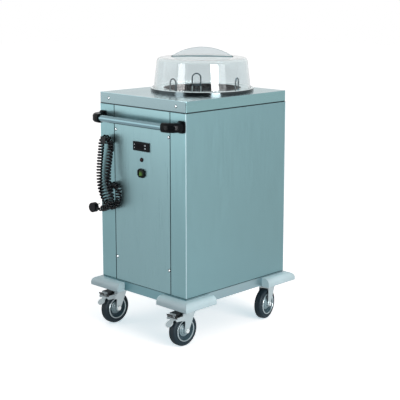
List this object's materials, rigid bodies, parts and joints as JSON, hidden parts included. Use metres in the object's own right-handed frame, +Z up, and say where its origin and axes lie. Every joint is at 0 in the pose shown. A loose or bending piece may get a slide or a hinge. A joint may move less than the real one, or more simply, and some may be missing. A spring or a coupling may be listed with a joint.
{
  "type": "plate dispenser cart",
  "caption": "Heated plate dispenser cart: a steel cabinet on swivel castors with a sprung plate well, clear cover, push handle and curly supply cord.",
  "frame": {"origin": "on the floor, under the middle of the footprint of handle and bumpers", "axes": "+Z up, -Y towards the side with the push handle, +X to the right as seen from there"},
  "size_m": [0.55, 0.66, 1.1079],
  "materials": {
    "panel_steel": "brushed stainless sheet",
    "worktop_steel": "brushed stainless sheet",
    "ring_steel": "polished stainless",
    "handle_steel": "polished stainless tube",
    "inner_steel": "plain stainless",
    "spring_steel": "drawn wire",
    "castor_steel": "zinc plated pressing",
    "clear_plastic": "clear polycarbonate",
    "bumper_plastic": "pale grey moulding",
    "bracket_plastic": "black moulding",
    "cord_jacket": "black polyurethane",
    "plug_plastic": "black moulding",
    "plug_brass": "nickel plated pins",
    "hook_plastic": "black powder coat",
    "controller_plastic": "black moulding",
    "window_plastic": "smoked window",
    "key_plastic": "pale keys",
    "lamp_plastic": "dark red lens in a black bezel",
    "switch_plastic": "black moulding",
    "rocker_plastic": "green translucent rocker",
    "tyre_rubber": "dark rubber",
    "rim_plastic": "grey nylon wheel centre",
    "heater_steel": "sheathed element",
    "pedal_plastic": "grey pedal with a black shoe"
  },
  "bodies": {
    "root": {"worktop": "worktop_steel", "collar_ring": "ring_steel", "plate_guides": "ring_steel", "side_panel_left": "panel_steel", "side_panel_right": "panel_steel", "service_panel": "panel_steel", "back_panel": "panel_steel", "cover_screws": "ring_steel", "base_frame": "panel_steel", "base_plate": "inner_steel", "panel_feet": "inner_steel", "top_frame": "inner_steel", "bumper_front_left": "bumper_plastic", "bumper_front_right": "bumper_plastic", "bumper_rear_left": "bumper_plastic", "bumper_rear_right": "bumper_plastic", "handle_tube": "handle_steel", "handle_bracket_left": "bracket_plastic", "handle_bracket_right": "bracket_plastic", "controller_body": "controller_plastic", "controller_window": "window_plastic", "pilot_lamp": "lamp_plastic", "switch_frame": "switch_plastic", "cord_hook": "hook_plastic", "cord_gland": "plug_plastic", "curly_cord": "cord_jacket", "cord_tail": "cord_jacket", "plug_body": "plug_plastic", "plug_pins": "plug_brass", "castor_plates": "castor_steel", "plate_tube": "inner_steel", "guide_rods": "inner_steel", "lift_springs": "spring_steel", "heating_element": "heater_steel", "heat_sensor": "inner_steel"},
    "cover": {"dome_cover": "clear_plastic"},
    "platform": {"lift_platform": "inner_steel"},
    "rocker": {"switch_rocker": "rocker_plastic"},
    "key_up": {"key_up": "key_plastic"},
    "key_down": {"key_down": "key_plastic"},
    "key_set": {"key_set": "key_plastic"},
    "key_power": {"key_power": "key_plastic"},
    "castor_front_left": {"fork_front_left": "castor_steel", "axle_front_left": "castor_steel"},
    "wheel_front_left": {"rim_front_left": "rim_plastic", "tyre_front_left": "tyre_rubber"},
    "pedal_front_left": {"brake_pedal_front_left": "pedal_plastic"},
    "castor_front_right": {"fork_front_right": "castor_steel", "axle_front_right": "castor_steel"},
    "wheel_front_right": {"rim_front_right": "rim_plastic", "tyre_front_right": "tyre_rubber"},
    "pedal_front_right": {"brake_pedal_front_right": "pedal_plastic"},
    "castor_rear_left": {"fork_rear_left": "castor_steel", "axle_rear_left": "castor_steel"},
    "wheel_rear_left": {"rim_rear_left": "rim_plastic", "tyre_rear_left": "tyre_rubber"},
    "castor_rear_right": {"fork_rear_right": "castor_steel", "axle_rear_right": "castor_steel"},
    "wheel_rear_right": {"rim_rear_right": "rim_plastic", "tyre_rear_right": "tyre_rubber"}
  },
  "joints": [
    {"name": "platform_lift", "type": "slide", "parent": "root", "child": "platform", "axis": [0, 0, -1], "range_m": [0, 0.4], "stiffness_N_per_m": 800, "springref_m": -0.1, "deforming": ["lift_springs"]},
    {"name": "cover_lift", "type": "slide", "parent": "root", "child": "cover", "axis": [0, 0, 1], "range_m": [0, 0.2]},
    {"name": "power_rocker", "type": "hinge", "parent": "root", "child": "rocker", "pos_m": [0, -0.258, 0.6425], "axis": [0, 0, 1], "range_deg": [-24, 0]},
    {"name": "key_up_press", "type": "slide", "parent": "root", "child": "key_up", "axis": [0, 1, 0], "range_m": [0, 0.0005], "stiffness_N_per_m": 500, "springref_m": -0.0005},
    {"name": "key_down_press", "type": "slide", "parent": "root", "child": "key_down", "axis": [0, 1, 0], "range_m": [0, 0.0005], "stiffness_N_per_m": 500, "springref_m": -0.0005},
    {"name": "key_set_press", "type": "slide", "parent": "root", "child": "key_set", "axis": [0, 1, 0], "range_m": [0, 0.0005], "stiffness_N_per_m": 500, "springref_m": -0.0005},
    {"name": "key_power_press", "type": "slide", "parent": "root", "child": "key_power", "axis": [0, 1, 0], "range_m": [0, 0.0005], "stiffness_N_per_m": 500, "springref_m": -0.0005},
    {"name": "swivel_front_left", "type": "hinge", "parent": "root", "child": "castor_front_left", "pos_m": [-0.197, -0.214, 0.13], "axis": [0, 0, 1], "continuous": true},
    {"name": "roll_front_left", "type": "hinge", "parent": "castor_front_left", "child": "wheel_front_left", "pos_m": [-0.197, -0.238, 0.0625], "axis": [1, 0, 0], "continuous": true},
    {"name": "brake_front_left", "type": "hinge", "parent": "castor_front_left", "child": "pedal_front_left", "pos_m": [-0.197, -0.266, 0.116], "axis": [1, 0, 0], "range_deg": [0, 12]},
    {"name": "swivel_front_right", "type": "hinge", "parent": "root", "child": "castor_front_right", "pos_m": [0.197, -0.214, 0.13], "axis": [0, 0, 1], "continuous": true},
    {"name": "roll_front_right", "type": "hinge", "parent": "castor_front_right", "child": "wheel_front_right", "pos_m": [0.197, -0.238, 0.0625], "axis": [1, 0, 0], "continuous": true},
    {"name": "brake_front_right", "type": "hinge", "parent": "castor_front_right", "child": "pedal_front_right", "pos_m": [0.197, -0.266, 0.116], "axis": [1, 0, 0], "range_deg": [0, 12]},
    {"name": "swivel_rear_left", "type": "hinge", "parent": "root", "child": "castor_rear_left", "pos_m": [-0.197, 0.248, 0.13], "axis": [0, 0, 1], "continuous": true},
    {"name": "roll_rear_left", "type": "hinge", "parent": "castor_rear_left", "child": "wheel_rear_left", "pos_m": [-0.19119, 0.22471, 0.0625], "axis": [0.9703, 0.2419, 0], "continuous": true},
    {"name": "swivel_rear_right", "type": "hinge", "parent": "root", "child": "castor_rear_right", "pos_m": [0.197, 0.248, 0.13], "axis": [0, 0, 1], "continuous": true},
    {"name": "roll_rear_right", "type": "hinge", "parent": "castor_rear_right", "child": "wheel_rear_right", "pos_m": [0.20199, 0.22452, 0.0625], "axis": [0.9781, 0.2079, 0], "continuous": true}
  ]
}
